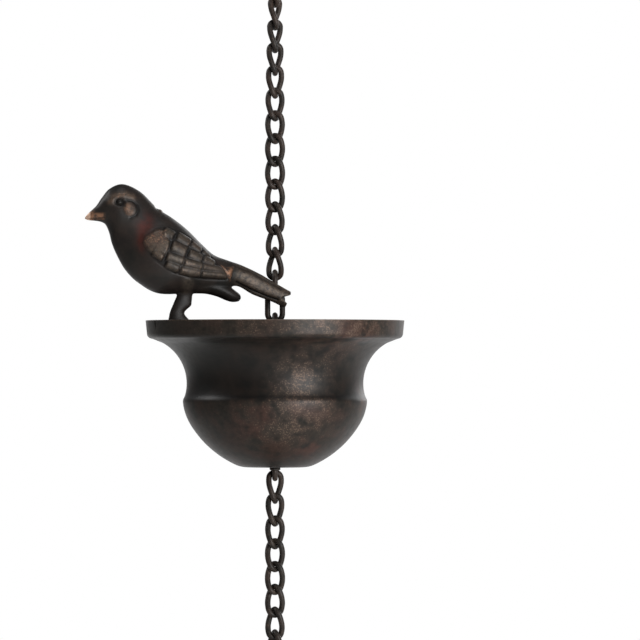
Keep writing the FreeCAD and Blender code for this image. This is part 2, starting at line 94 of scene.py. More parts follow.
@dataclass
class Patch:
    """A closed surface: points in millimetres, quads or triangles, and values per point."""

    points: Array
    faces: list[Array]
    values: dict[str, Array] = field(default_factory=dict)

    def placed(self, turn: float, height: float) -> "Patch":
        """Turn the patch about the chain and move it along it.

        Args:
            turn: angle about +Z in degrees.
            height: new height of the patch's own zero.

        Returns:
            The same surface in the row frame.
        """
        angle = math.radians(turn)
        spin = np.array([
            [math.cos(angle), -math.sin(angle), 0.0],
            [math.sin(angle), math.cos(angle), 0.0],
            [0.0, 0.0, 1.0],
        ])
        points = self.points @ spin.T + np.array([0.0, 0.0, height])
        return Patch(points, self.faces, self.values)


def joined(patches: Sequence[Patch]) -> Patch:
    """One patch that holds several, each keeping its own points."""
    starts = np.cumsum([0] + [len(patch.points) for patch in patches])
    faces = [ring + start for patch, start in zip(patches, starts) for ring in patch.faces]
    keys = patches[0].values.keys()
    values = {key: np.concatenate([patch.values[key] for patch in patches]) for key in keys}
    return Patch(np.concatenate([patch.points for patch in patches]), faces, values)


def grid_faces(rows: int, columns: int, close_rows: bool) -> Array:
    """Quads of a grid whose columns always close.

    Args:
        rows: number of rings.
        columns: points on a ring.
        close_rows: whether the last ring meets the first.

    Returns:
        Rows of four point numbers.
    """
    last = rows if close_rows else rows - 1
    row, column = np.meshgrid(np.arange(last), np.arange(columns), indexing="ij")
    after, beside = (row + 1) % rows, (column + 1) % columns
    quads = np.stack([row * columns + column, row * columns + beside,
                      after * columns + beside, after * columns + column], axis=-1)
    return quads.reshape(-1, 4)


def outward(patch: Patch) -> Patch:
    """The patch with its faces turned so that the volume inside counts as positive.

    The volume is a sixth of the sum, over all triangles, of corner a dot (b cross c).
    """
    total = 0.0
    for faces in patch.faces:
        first = patch.points[faces[:, 0]]
        for step in range(1, faces.shape[1] - 1):
            second, third = patch.points[faces[:, step]], patch.points[faces[:, step + 1]]
            total += float(np.sum(first * np.cross(second, third)))
    if total < 0:
        patch.faces = [faces[:, ::-1] for faces in patch.faces]
    return patch


def circle(count: int) -> Array:
    """Angles at even steps round a full turn."""
    return np.linspace(0.0, 2.0 * math.pi, count, endpoint=False)


def capped(points: Array) -> Patch:
    """Closed patch from a grid of rings, each end drawn together in its middle point."""
    rows, columns, _ = points.shape
    ends = np.stack([points[0].mean(axis=0), points[-1].mean(axis=0)])
    around = np.arange(columns)
    beside = (around + 1) % columns
    start = np.full(columns, rows * columns)
    last = (rows - 1) * columns
    low = np.stack([start, beside, around], axis=-1)
    high = np.stack([start + 1, around + last, beside + last], axis=-1)
    flat = np.concatenate([points.reshape(-1, 3), ends])
    return outward(Patch(flat, [grid_faces(rows, columns, False), np.concatenate([low, high])]))


def turned_solid(reach: Array, height: Array, sides: int) -> Patch:
    """Profile of radii and heights turned about Z, both ends drawn together."""
    angles = circle(sides)
    rings = np.stack([reach[:, None] * np.cos(angles), reach[:, None] * np.sin(angles),
                      np.broadcast_to(height[:, None], (len(height), sides))], axis=-1)
    return capped(rings)


def evenly(patch: Patch, **values: float) -> Patch:
    """The patch with the same values at all its points, 0 for those that aren't given."""
    count = len(patch.points)
    patch.values = {key: np.full(count, values.get(key, 0.0)) for key in POINT_VALUES}
    return patch


def linked(name: str, data: bpy.types.ID) -> bpy.types.Object:
    """New object with its data, linked to the scene."""
    made = bpy.data.objects.new(name, data)
    bpy.context.scene.collection.objects.link(made)
    return made


def build_mesh(name: str, patch: Patch, sharp_degrees: float = 180.0) -> bpy.types.Object:
    """Put a patch into a new mesh object at the origin.

    Args:
        name: name of the piece.
        patch: surface in the row frame, in millimetres.
        sharp_degrees: edges that bend more than this stay crisp.

    Returns:
        The new object, linked to the scene.
    """
    mesh = bpy.data.meshes.new(name)
    faces = [row for faces in patch.faces for row in faces.tolist()]
    mesh.from_pydata((patch.points * MM).tolist(), [], faces)
    mesh.validate()
    mesh.shade_smooth()
    if sharp_degrees < 180.0:
        mesh.set_sharp_from_angle(angle=math.radians(sharp_degrees))
    for key, values in patch.values.items():
        attribute = mesh.attributes.new(key, "FLOAT", "POINT")
        attribute.data.foreach_set("value", values.astype(np.float32))
    return linked(name, mesh)


def modify(piece: bpy.types.Object, kind: str, **settings: object) -> None:
    """Add one modifier to a piece, with its settings by name."""
    change = piece.modifiers.new(kind.lower(), kind)
    for key, value in settings.items():
        setattr(change, key, value)


def read_mesh(piece: bpy.types.Object) -> Patch:
    """Read a piece as its modifiers leave it, in millimetres, and remove the piece."""
    evaluated = piece.evaluated_get(bpy.context.evaluated_depsgraph_get())
    mesh = bpy.data.meshes.new_from_object(evaluated)

    def column(items: bpy.types.bpy_prop_collection, key: str, size: int, kind: type) -> Array:
        """One property of every item of the mesh."""
        found = np.zeros(len(items) * size, kind)
        items.foreach_get(key, found)
        return found

    points = column(mesh.vertices, "co", 3, np.float32)
    totals = column(mesh.polygons, "loop_total", 1, np.int32)
    corners = column(mesh.loops, "vertex_index", 1, np.int32)
    starts = np.cumsum(totals) - totals
    faces = [corners[starts[totals == count][:, None] + np.arange(count)]
             for count in np.unique(totals)]
    bpy.data.objects.remove(piece)
    return Patch(points.reshape(-1, 3).astype(float) / MM, faces)


def unit(vectors: Array) -> Array:
    """Vectors of length one along the last axis."""
    return vectors / np.linalg.norm(vectors, axis=-1, keepdims=True)


def smooth_step(values: Array, low: float, high: float) -> Array:
    """Rise from 0 to 1 between two values: 3t squared minus 2t cubed."""
    share = np.clip((values - low) / (high - low), 0.0, 1.0)
    return share * share * (3.0 - 2.0 * share)


def arc_path(start: Array, way: Array, end: Array, count: int) -> Array:
    """Points on the arc that leaves start along way and reaches end, the end left out.

    With the chord from start to end, the radius is the chord squared over twice its inward part,
    and a point at angle a is centre + radius * (way * sin a - inward * cos a).
    """
    chord = end - start
    inward = unit(np.cross(np.cross(way, chord), way))
    radius = chord @ chord / (2.0 * (chord @ inward))
    sweep = 2.0 * math.acos(min(1.0, float(way @ unit(chord))))
    angles = np.linspace(0.0, sweep, count, endpoint=False)[:, None]
    return start + inward * radius + radius * (way * np.sin(angles) - inward * np.cos(angles))


def smooth_line(rows: Array, steps: int) -> Array:
    """Catmull-Rom curve through every row, so many steps from one row to the next."""
    padded = np.concatenate([2 * rows[:1] - rows[1:2], rows, 2 * rows[-1:] - rows[-2:-1]])
    place = np.linspace(0.0, len(rows) - 1.0, (len(rows) - 1) * steps + 1)
    index = np.minimum(place.astype(int), len(rows) - 2)
    share = (place - index)[:, None]
    first, second, third, fourth = (padded[index + offset] for offset in range(4))
    return 0.5 * (2 * second + (third - first) * share
                  + (2 * first - 5 * second + 4 * third - fourth) * share ** 2
                  + (3 * second - first - 3 * third + fourth) * share ** 3)


def resampled(line: Array, places: Array, wanted: Array) -> Array:
    """Points of a line at wanted places, straight from one given place to the next."""
    return np.stack([np.interp(wanted, places, column) for column in line.T], axis=1)


def averaged(line: Array, half: int, **ends: str) -> Array:
    """Moving average of a line, with bell-shaped weights over so many points to each side."""
    weights = np.hanning(2 * half + 3)[1:-1]
    padded = np.pad(line, ((half, half), (0, 0)), **ends)
    return np.stack([np.convolve(column, weights / weights.sum(), "valid")
                     for column in padded.T], axis=1)


def tube(path: Array, across: Array, radius: float, sides: int) -> Patch:
    """Round wire along a closed path.

    The ring at each point is path + radius * (cos a * side + sin a * (tangent cross side)), where
    side is the part of across that is square to the path.

    Args:
        path: points of the closed path.
        across: a direction at each point that isn't along the path.
        radius: half of the wire's diameter.
        sides: points on each ring.

    Returns:
        The wire's closed surface.
    """
    along = unit(np.roll(path, -1, axis=0) - np.roll(path, 1, axis=0))
    side = unit(across - np.sum(across * along, axis=1, keepdims=True) * along)
    other = np.cross(along, side)
    angles = circle(sides)[None, :, None]
    rings = path[:, None] + radius * (np.cos(angles) * side[:, None]
                                      + np.sin(angles) * other[:, None])
    return outward(Patch(rings.reshape(-1, 3), [grid_faces(len(path), sides, True)]))


# Finishes


def linear(code: str) -> tuple[float, float, float, float]:
    """Linear colour of an sRGB hex value such as "2a2725"."""
    parts = np.array([int(code[place:place + 2], 16) for place in (0, 2, 4)]) / 255.0
    parts = np.where(parts <= 0.04045, parts / 12.92, ((parts + 0.055) / 1.055) ** 2.4)
    return (*parts.tolist(), 1.0)


def add_node(tree: Tree, kind: str, settings: dict | None = None, values: dict | None = None,
             links: dict | None = None) -> bpy.types.Node:
    """Add one node.

    Args:
        tree: node tree that takes it.
        kind: type of the node.
        settings: properties of the node by name.
        values: input values by socket name or number.
        links: output sockets by the input they feed.

    Returns:
        The new node.
    """
    node = tree.nodes.new(kind)
    for key, value in (settings or {}).items():
        setattr(node, key, value)
    for key, value in (values or {}).items():
        node.inputs[key].default_value = value
    for key, source in (links or {}).items():
        tree.links.new(source, node.inputs[key])
    return node


def new_material(name: str) -> tuple[bpy.types.Material, Tree, bpy.types.Node]:
    """A node material with its tree and its shader."""
    material = bpy.data.materials.new(name)
    material.use_nodes = True
    return material, material.node_tree, material.node_tree.nodes["Principled BSDF"]


def combined(tree: Tree, kind: str, first: Socket, second: Socket | float) -> Socket:
    """Two values added, multiplied or compared, and kept from 0 to 1."""
    fixed = isinstance(second, float)
    node = add_node(tree, "ShaderNodeMath", {"operation": kind, "use_clamp": True},
                    {1: second} if fixed else None,
                    {0: first} if fixed else {0: first, 1: second})
    return node.outputs[0]


def between(tree: Tree, source: Socket, low: float, high: float) -> Socket:
    """Smooth rise from 0 where a value is low to 1 where it is high."""
    node = add_node(tree, "ShaderNodeMapRange", {"interpolation_type": "SMOOTHSTEP"},
                    {"From Min": low, "From Max": high}, {"Value": source})
    return node.outputs["Result"]


@dataclass(frozen=True)
class AntiquedBronze:
    """Brown-black lacquer over metal, dabbed with copper and rubbed through where hands reach.

    The eye sees an almost black satin coat, warm brown where the light catches it, a dust of
    copper specks a few tenths of a millimetre across and faint wine-red stains. Over the rubbed
    and polished places lies a painted sheen, and in the recesses a painted shade. Each length is
    the size of one pattern's blobs, and each share is how far one colour covers those below.
    """

    name: str
    coat: str = "111110"
    warm: str = "1e1916"
    copper: str = "856f60"
    # Pale brown of polished metal and of painted sheen on raised tops.
    polish: str = "554c43"
    red: str = "331c17"
    # Near black of painted shade in grooves, on the eye and along the cup's ridge.
    painted_shade: str = "0c0b0b"
    # Warm grey painted over the rubbed places: a painted sheen, not a colour of the metal.
    sheen: str = "453b34"
    pale: str = "c9ac98"
    roughness: float = 0.38
    specular: float = 0.19
    cloud_mm: float = 16.0
    stain_mm: float = 9.0
    rub_mm: float = 4.5
    edge_mm: float = 1.6
    shine_mm: float = 1.3
    satin_mm: float = 2.2
    speck_mm: float = 0.55
    grain_mm: float = 0.5
    dent_mm: float = 2.6
    grain_depth_mm: float = 0.05
    stain_low: float = 0.42
    speck_low: float = 0.61
    cloud_share: float = 0.7
    dust_share: float = 0.3
    sheen_share: float = 0.48
    bare_share: float = 0.8

    def build(self) -> bpy.types.Material:
        """Build the node material.

        Returns:
            The material, which reads from the piece its rubbed places and polished places, both
            with painted sheen, its stains, its bare edges and the painted shade in its recesses.
        """
        material, tree, shader = new_material(self.name)
        shader.inputs["Specular IOR Level"].default_value = self.specular
        place = add_node(tree, "ShaderNodeTexCoord").outputs["Object"]
        times, plus, most = (partial(combined, tree, kind)
                             for kind in ("MULTIPLY", "ADD", "MAXIMUM"))
        step = partial(between, tree)
        rub, stain, edge, polish, recess = (
            add_node(tree, "ShaderNodeAttribute", {"attribute_name": key}).outputs["Fac"]
            for key in POINT_VALUES)

        def noise(size_mm: float, detail: float = 3.0) -> Socket:
            """Noise with blobs about one size across."""
            node = add_node(tree, "ShaderNodeTexNoise", None,
                            {"Scale": 1.0 / (size_mm * MM), "Detail": detail, "Roughness": 0.6},
                            {"Vector": place})
            return node.outputs["Fac"]

        cloud = times(step(noise(self.cloud_mm, 4.0), 0.36, 0.66), self.cloud_share)
        rub = times(rub, step(noise(self.rub_mm), 0.3, 0.62))
        specks = step(plus(noise(self.speck_mm), times(rub, 0.14)), self.speck_low,
                      self.speck_low + 0.15)
        stain = times(stain, step(noise(self.stain_mm), self.stain_low, 0.66))
        dusted = times(times(specks, step(rub, 0.02, 0.6)), self.dust_share)
        bare = times(edge, step(noise(self.edge_mm), 0.3, 0.6))
        worn = most(dusted, times(bare, self.bare_share))
        shine = times(polish, step(noise(self.shine_mm), 0.25, 0.65))
        colour = None
        # Layers over the coat: warm clouds, red stains, polished metal with painted sheen, painted
        # sheen over rubbed places, copper, pale bare edges and painted shade in recesses.
        for share, above in (
                (cloud, self.warm), (stain, self.red), (times(shine, self.bare_share), self.polish),
                (times(rub, self.sheen_share), self.sheen), (worn, self.copper),
                (times(step(edge, 0.8, 1.0), self.bare_share), self.pale), (recess, self.painted_shade)):
            layer = add_node(tree, "ShaderNodeMix", {"data_type": "RGBA"},
                             {6: linear(self.coat), 7: linear(above)}, {0: share})
            if colour is not None:
                tree.links.new(colour, layer.inputs[6])
            colour = layer.outputs[2]

        rough = add_node(tree, "ShaderNodeMapRange", None,
                         {"To Min": self.roughness - 0.06, "To Max": self.roughness + 0.12},
                         {"Value": noise(self.satin_mm)})
        grain = plus(times(noise(self.grain_mm, 2.0), 0.6), times(noise(self.dent_mm, 2.0), 0.4))
        bump = add_node(tree, "ShaderNodeBump", None,
                        {"Strength": 0.35, "Distance": self.grain_depth_mm * MM}, {"Height": grain})
        for socket, source in (("Base Color", colour),
                               ("Metallic", times(most(worn, times(shine, 0.7)), 0.85)),
                               ("Roughness", rough.outputs["Result"]),
                               ("Normal", bump.outputs["Normal"])):
            tree.links.new(source, shader.inputs[socket])
        return material


# Wire


@dataclass
class ChainWire:
    """The wire pieces: twisted links in runs, and the plain ovals at each cup."""

    wire: float = 2.2
    link_length: float = 13.3
    link_width: float = 7.9
    twist: float = 90.0
    seat_gap: float = 0.1
    closing_length: float = 12.3
    closing_width: float = 8.2
    closing_lap: float = 4.0
    closing_aside: float = 1.3
    loop_width: float = 8.2
    loop_rise: float = 3.1
    loop_drop: float = 5.4
    cup_depth: float = 56.8
    bead_radius: float = 1.35
    bead_swell: float = 0.75
    bead_height: float = 1.15
    slack_turn: float = 10.0
    # Rubbing and polish on the wire also carry painted sheen.
    rub: float = 0.55
    stain: float = 0.2
    polish: float = 0.15
    sides: int = 18
    arc_steps: int = 11

    def __post_init__(self) -> None:
        """Work out the heights from the wire and the play at each crown.

        Half heights are from a link's middle to its crown's middle. Links hang one seat apart at
        their crowns, and each middle is measured from the rim, upwards from the long loop: the
        plain link, the oval that closes on it, the last twisted link, and below the cup the loop's
        lower crown and the first twisted link.
        """
        self.link_half = (self.link_length - self.wire) / 2
        self.closing_half = (self.closing_length - self.wire) / 2
        self.seat = self.wire + self.seat_gap
        self.pitch = 2 * self.link_half - self.seat
        self.tail_link_middle = self.loop_rise - self.wire / 2 - self.seat + self.link_half
        self.closing_middle = self.tail_link_middle + self.link_half - self.seat + self.closing_half
        self.last_link_middle = self.closing_middle + self.closing_half - self.seat + self.link_half
        self.loop_bottom = self.wire / 2 - self.cup_depth - self.loop_drop
        self.first_link_middle = self.loop_bottom + self.seat - self.link_half

    def worn(self, patch: Patch, rub: float) -> Patch:
        """The patch with its point values: wire is rubbed evenly, with painted sheen, and hardly
        stained.
        """
        return evenly(patch, rub=rub, stain=self.stain, polish=self.polish)

    def twisted_link(self) -> Patch:
        """One link: a stadium of wire twisted about its length.

        A quarter runs from a crown to a side on two arcs that meet halfway, and the other three
        quarters are its half turns about X and Z.
        """
        width = (self.link_width - self.wire) / 2
        rate = math.radians(self.twist) / (2 * self.link_half)
        lead = math.radians(self.twist / 2)
        crown, side = np.array([0.0, 0.0, self.link_half]), np.array([width, 0.0, 0.0])
        crown_way = np.array([math.cos(lead), -math.sin(lead), 0.0])
        side_way = unit(np.array([0.0, width * rate, -1.0]))
        chord, bend = side - crown, 2 * (1 - crown_way @ side_way)
        along = chord @ (crown_way + side_way)
        reach = (math.sqrt(along ** 2 + bend * (chord @ chord)) - along) / bend
        first, second = crown + crown_way * reach, side - side_way * reach
        middle = (first + second) / 2
        quarter = np.concatenate([arc_path(crown, crown_way, middle, self.arc_steps),
                                  arc_path(middle, unit(second - first), side, self.arc_steps)])
        about_x, about_z = np.array([1.0, -1.0, -1.0]), np.array([-1.0, -1.0, 1.0])
        lower = quarter[1:][::-1] * about_x
        half = np.concatenate([quarter, side[None], lower, crown[None] * about_x])
        path = np.concatenate([half[:-1], (half * about_z)[::-1][:-1]])
        turn = -path[:, 2] / self.link_half * lead
        across = np.stack([-np.sin(turn), np.cos(turn), np.zeros(len(turn))], axis=1)
        return self.worn(tube(path, across, self.wire / 2, self.sides), self.rub)

    def flat_oval(self, half_width: float, bottom: float, top: float, legs: int = 6) -> Patch:
        """Closed oval of wire in the XZ plane between two crown heights.

        Two half circles, x = w cos a and z = end +- w sin a, joined by straight legs.
        """
        bend = np.linspace(0.0, math.pi, 4 * self.arc_steps, endpoint=False)
        rise = np.linspace(bottom + half_width, top - half_width, legs, endpoint=False)
        leg = np.full(legs, half_width)
        cosine, sine = half_width * np.cos(bend), half_width * np.sin(bend)
        x = np.concatenate([leg, cosine, -leg, -cosine])
        z = np.concatenate([rise, top - half_width + sine,
                            bottom + top - rise, bottom + half_width - sine])
        path = np.stack([x, np.zeros(len(x)), z], axis=1)
        across = np.tile(np.array([0.0, 1.0, 0.0]), (len(path), 1))
        return self.worn(tube(path, across, self.wire / 2, self.sides), self.rub)

    def long_loop(self) -> Patch:
        """Loop that passes through the cup's bottom and carries it."""
        half = (self.loop_width - self.wire) / 2
        return self.flat_oval(half, self.loop_bottom, self.loop_rise - self.wire / 2, 40)

    def tail_link(self) -> Patch:
        """Plain oval over the loop, beside the bird's tail."""
        return self.flat_oval((self.link_width - self.wire) / 2, -self.link_half, self.link_half)

    def closing_link(self) -> Patch:
        """Plain oval with its wire's end lapped beside it, the end rounded off.

        The lapped end is a turned profile: a straight side between two half circles.
        """
        half = (self.closing_width - self.wire) / 2
        ring = self.flat_oval(half, -self.closing_half, self.closing_half)
        bend = np.linspace(0.0, math.pi / 2, 7)[:-1]
        radius = self.wire / 2
        reach = np.concatenate([radius * np.sin(bend + 0.02), [radius] * 6,
                                radius * np.cos(bend[1:])])
        low, high = -self.closing_lap / 2, self.closing_lap / 2
        height = np.concatenate([low - radius * np.cos(bend), np.linspace(low, high, 6),
                                 high + radius * np.sin(bend[1:])])
        lap = turned_solid(reach, height, self.sides)
        lap.points += np.array([half + self.closing_aside, 0.0, 0.0])
        return joined([ring, self.worn(lap, 0.5)])

    def weld_beads(self) -> Patch:
        """Lumpy weld around each leg of the loop where it leaves the cup's bottom.

        The bead's radius swells to its middle and wavers as the sum of two cosines.
        """
        rise = np.linspace(0.0, 1.0, 9)
        reach = self.bead_radius + self.bead_swell * np.sin(math.pi * (0.12 + 0.8 * rise))
        height = -self.cup_depth - self.bead_height + self.bead_height * rise
        beads = []
        for side in (-1, 1):
            bead = turned_solid(reach, height, 28)
            angle = np.arctan2(bead.points[:, 1], bead.points[:, 0])
            waver = 1.0 + 0.06 * np.cos(3 * angle + side) + 0.05 * np.cos(5 * angle + 2 * side)
            bead.points[:, :2] *= waver[:, None]
            bead.points += np.array([side * (self.loop_width - self.wire) / 2, 0.0, 0.0])
            beads.append(self.worn(bead, 0.3))
        return joined(beads)

    def run(self, middle: float, turn: float, count: int, step: float) -> Patch:
        """Links that hang in each other, from the top one down."""
        link = self.twisted_link()
        return joined([link.placed(turn + place * step, middle - place * self.pitch)
                       for place in range(count)])


# Cup


@dataclass
class SpunCup:
    """Cup spun from sheet: upright lip, shelf, hollow throat, ridge, round bowl, drained bottom."""

    rim_radius: float = 50.0
    wall: float = 1.2
    depth: float = 56.8
    base_radius: float = 13.1
    bowl_radius: float = 29.1
    bowl_depth: float = 45.1
    ridge_radius: float = 35.1
    ridge_depth: float = 30.2
    drain_diameter: float = 4.5
    drain_circle: float = 8.4
    drain_count: int = 6
    notch_width: float = 1.7
    notch_depth: float = 3.9
    notch_turn: float = 8.5
    leg_play: float = 0.1
    sides: int = 180
    soften_mm: float = 0.45
    step_mm: float = 0.1

    # Worn and stained clouds, the rub bringing its painted sheen: turn, height, width, and how much
    # rub and stain each adds. The cloud with negative amounts leaves the lip's left side darker:
    # painted shade.
    CLOUDS = (
        (269.0, -22.5, 8.0, 0.85, 0.0), (275.0, -33.0, 10.0, 0.8, 0.2),
        (264.0, -42.0, 11.0, 0.45, 0.3), (288.0, -3.0, 23.0, 0.7, 0.3),
        (290.0, -6.0, 7.0, 0.1, 0.9), (304.0, -6.0, 7.0, 0.1, 0.9),
        (257.0, -31.2, 4.5, 0.3, 0.9), (270.0, -30.8, 4.0, 0.2, 0.8),
        (284.0, -30.6, 4.5, 0.1, 0.9), (329.0, -33.0, 8.0, 0.1, 0.8),
        (289.0, -47.5, 6.0, 0.0, 0.8), (243.0, -39.5, 8.0, 0.1, 0.6),
        (190.0, -3.0, 20.0, -0.36, -0.3), (243.0, -3.0, 9.0, 0.2, 0.2),
        (80.0, -36.0, 14.0, 0.6, 0.4), (160.0, -24.0, 10.0, 0.5, 0.1),
        (20.0, -40.0, 13.0, 0.5, 0.5), (110.0, -3.0, 26.0, 0.6, 0.3))
    # Depth and radius of the outside, to set each cloud on.
    OUTSIDE = ((0.0, 8.0, 12.0, 24.0, 36.0, 46.0, 57.0), (50.0, 48.0, 38.0, 33.0, 35.0, 28.0, 14.0))

    def section(self) -> tuple[Array, Array]:
        """Closed half section: outside from the bottom's middle to the rim, then back inside.

        Arcs are centre + radius * (cos a, sin a). Their places along the profile are evened out,
        and a small moving average rounds every corner as spinning does.

        Returns:
            Radii and heights of the profile.
        """
        def arc(centre: Pair, start: Pair, end: Pair, grow: float = 0.0) -> Array:
            """Arc about a centre between two directions, its radius changed by grow."""
            first, last = (math.atan2(spot[1] - centre[1], spot[0] - centre[0])
                           for spot in (start, end))
            turn = (last - first + math.pi) % (2 * math.pi) - math.pi
            radius = math.hypot(start[0] - centre[0], start[1] - centre[1]) + grow
            angles = first + turn * np.linspace(0.0, 1.0, 60)
            return np.stack([centre[0] + radius * np.cos(angles),
                             centre[1] + radius * np.sin(angles)], axis=1)

        base, bowl = (self.base_radius, -self.depth), (self.bowl_radius, -self.bowl_depth)
        ridge, funnel = (self.ridge_radius, -self.ridge_depth), (43.4, -8.7)
        shelf, lip = (47.6, -7.1), (49.5, -5.2)
        # Middles of the arcs, from the bottom up.
        low, high, throat, corner = (-2.99, -17.11), (12.97, -28.98), (52.1, -24.43), (47.55, -5.15)
        outside = np.concatenate([
            [(0.0, -self.depth)], arc(low, base, bowl), arc(high, bowl, ridge),
            arc(throat, ridge, funnel), arc(corner, shelf, lip), [(self.rim_radius, 0.0)]])
        inner_lip = self.rim_radius - self.wall
        inside = np.concatenate([
            [(inner_lip, 0.0), (inner_lip - 0.45, -6.0)], arc(throat, funnel, ridge, self.wall),
            arc(high, ridge, bowl, -self.wall), arc(low, bowl, base, -self.wall),
            [(0.0, self.wall - self.depth)]])
        section = np.concatenate([self.evened(outside, 150), self.evened(inside, 110)])
        return section[:, 0], section[:, 1]

    def evened(self, line: Array, count: int) -> Array:
        """The line at even spacing, its corners rounded by a moving average.

        The ridge, the foot of the bowl and the bottom's corner are rounded more. By each the line
        moves to an average over so many points to each side, by a share of
        exp(-(height from it over its spread) to the fourth).
        """
        reach = np.concatenate([[0.0], np.cumsum(np.linalg.norm(np.diff(line, axis=0), axis=1))])
        fine = np.arange(0.0, reach[-1], self.step_mm)
        soft = averaged(resampled(line, reach, fine), int(self.soften_mm / self.step_mm),
                        mode="reflect", reflect_type="odd")
        rounded = ((self.ridge_depth, 3.4, 22), (self.bowl_depth, 7.0, 60), (self.depth, 4.0, 42))
        for depth, spread, half in rounded:
            share = np.exp(-((soft[:, 1] + depth) / spread) ** 4)[:, None]
            soft = soft + share * (averaged(soft, half, mode="edge") - soft)
        wanted = np.linspace(0.0, 1.0, count) * (len(soft) - 1)
        return resampled(soft, np.arange(len(soft)), wanted)

    def build(self, loop: ChainWire, loop_turn: float) -> Patch:
        """Turn the section, then cut the drains, the loop's two holes and the split in the lip.

        Args:
            loop: wire sizes, for the two holes.
            loop_turn: plane of the long loop from the bird's heading, degrees.

        Returns:
            The cup in its own frame, with its point values.
        """
        reach, height = self.section()
        solid = turned_solid(np.maximum(reach[1:-1], 0.0), height[1:-1], self.sides)
        solid.points[-2:, 2] = (-self.depth, self.wall - self.depth)
        cup = build_mesh("cup_blank", solid)
        leg, leg_hole = (loop.loop_width - loop.wire) / 2, loop.wire / 2 + self.leg_play
        holes = [(self.drain_circle, self.notch_turn + place * 360.0 / self.drain_count,
                  self.drain_diameter / 2) for place in range(self.drain_count)]
        holes += [(side * leg, loop_turn, leg_hole) for side in (-1, 1)]
        pins = []
        for out, turn, radius in holes:
            angle = math.radians(turn)
            pin = turned_solid(np.full(2, radius), np.array([-2.0, 3.0]) - self.depth, 32)
            pin.points[:, :2] += (out * math.cos(angle), out * math.sin(angle))
            pins.append(pin)
        wedge = np.array([[-0.5, 0.5], [0.0, -self.notch_depth], [0.5, 0.5]])
        wedge[:, 0] *= self.notch_width * 1.13
        split = capped(np.stack([np.stack([np.full(3, -x), wedge[:, 0], wedge[:, 1]], axis=1)
                                 for x in (self.rim_radius - 6.0, self.rim_radius + 4.0)]))
        cutters = [build_mesh("pins", joined(pins)),
                   build_mesh("split", split.placed(self.notch_turn, 0.0))]
        for tool in cutters:
            modify(cup, "BOOLEAN", operation="DIFFERENCE", object=tool, solver="EXACT")
        patch = read_mesh(cup)
        for tool in cutters:
            bpy.data.objects.remove(tool)
        patch.values = self.wear(patch.points)
        return patch

    def wear(self, points: Array) -> dict[str, Array]:
        """Where the coat is rubbed or stained: the lip, the bowl and a few soft clouds.

        Each cloud is exp(-(distance over its width) squared) about one spot. Painted sheen goes
        with the rubbed and polished places, and painted shade lies along the ridge.
        """
        radius, height = np.hypot(points[:, 0], points[:, 1]), points[:, 2]
        lip = smooth_step(height, -7.0, -5.0)
        bowl = smooth_step(-height, 29.5, 32.0)
        rub = 0.06 + 0.3 * lip + 0.2 * bowl * smooth_step(-height, 60.0, 38.0)
        stain = 0.05 + 0.28 * bowl + 0.2 * lip
        for turn, place, width, rubbed, stained in self.CLOUDS:
            angle, reach = math.radians(turn), np.interp(-place, *self.OUTSIDE)
            spot = np.array([reach * math.cos(angle), reach * math.sin(angle), place])
            cloud = np.exp(-np.sum((points - spot) ** 2, axis=1) / width ** 2)
            rub += rubbed * cloud
            stain += stained * cloud
        rub[radius < 3.0] = 0.1
        crisp = smooth_step(height, -0.5, -0.15) * 0.3
        # A dark line along the ridge under the throat: painted shade.
        crease = np.exp(-((height + 29.4) / 0.8) ** 2) * (radius > 33.8)
        return {"rub": np.clip(rub, 0, 1), "stain": np.clip(stain, 0, 1), "edge": crisp,
                "polish": 0.2 * lip + 0.12 * bowl, "recess": 0.7 * crease}


# Bird


def to_edges(view: Array, start: Array, end: Array) -> Array:
    """Distance in the side view from each point to the nearest point of some straight edges."""
    spot, edge = view[:, None], end - start
    share = np.clip(np.sum((spot - start) * edge, axis=2) / np.sum(edge ** 2, axis=2), 0.0, 1.0)
    return np.linalg.norm(spot - start - share[..., None] * edge, axis=2).min(axis=1)


def line_mark(view: Array, line: Array, width: float) -> Array:
    """Soft mark along a line of points: exp(-(distance over width) squared)."""
    return np.exp(-(to_edges(view, line[:-1][None], line[1:][None]) / width) ** 2)


def spot_mark(view: Array, middle: Array, size: Sequence[float], power: int = 2) -> Array:
    """Soft mark about a spot: exp(-(distance over size) to a power)."""
    return np.exp(-np.linalg.norm((view - middle) / np.array(size), axis=1) ** power)


def depth_in(view: Array, outline: Array) -> Array:
    """Distance in from an outline in the side view, negative outside it.

    A point is inside where a ray along +x crosses the outline an odd number of times.
    """
    start, end = outline[None], np.roll(outline, -1, axis=0)[None]
    near, spot, edge = to_edges(view, start, end), view[:, None], end - start
    rises = (start[..., 1] > spot[..., 1]) != (end[..., 1] > spot[..., 1])
    height = np.where(np.abs(edge[..., 1]) < 1e-9, 1e-9, edge[..., 1])
    reach = start[..., 0] + (spot[..., 1] - start[..., 1]) / height * edge[..., 0]
    odd = np.sum(rises & (spot[..., 0] < reach), axis=1) % 2 == 1
    return np.where(odd, near, -near)


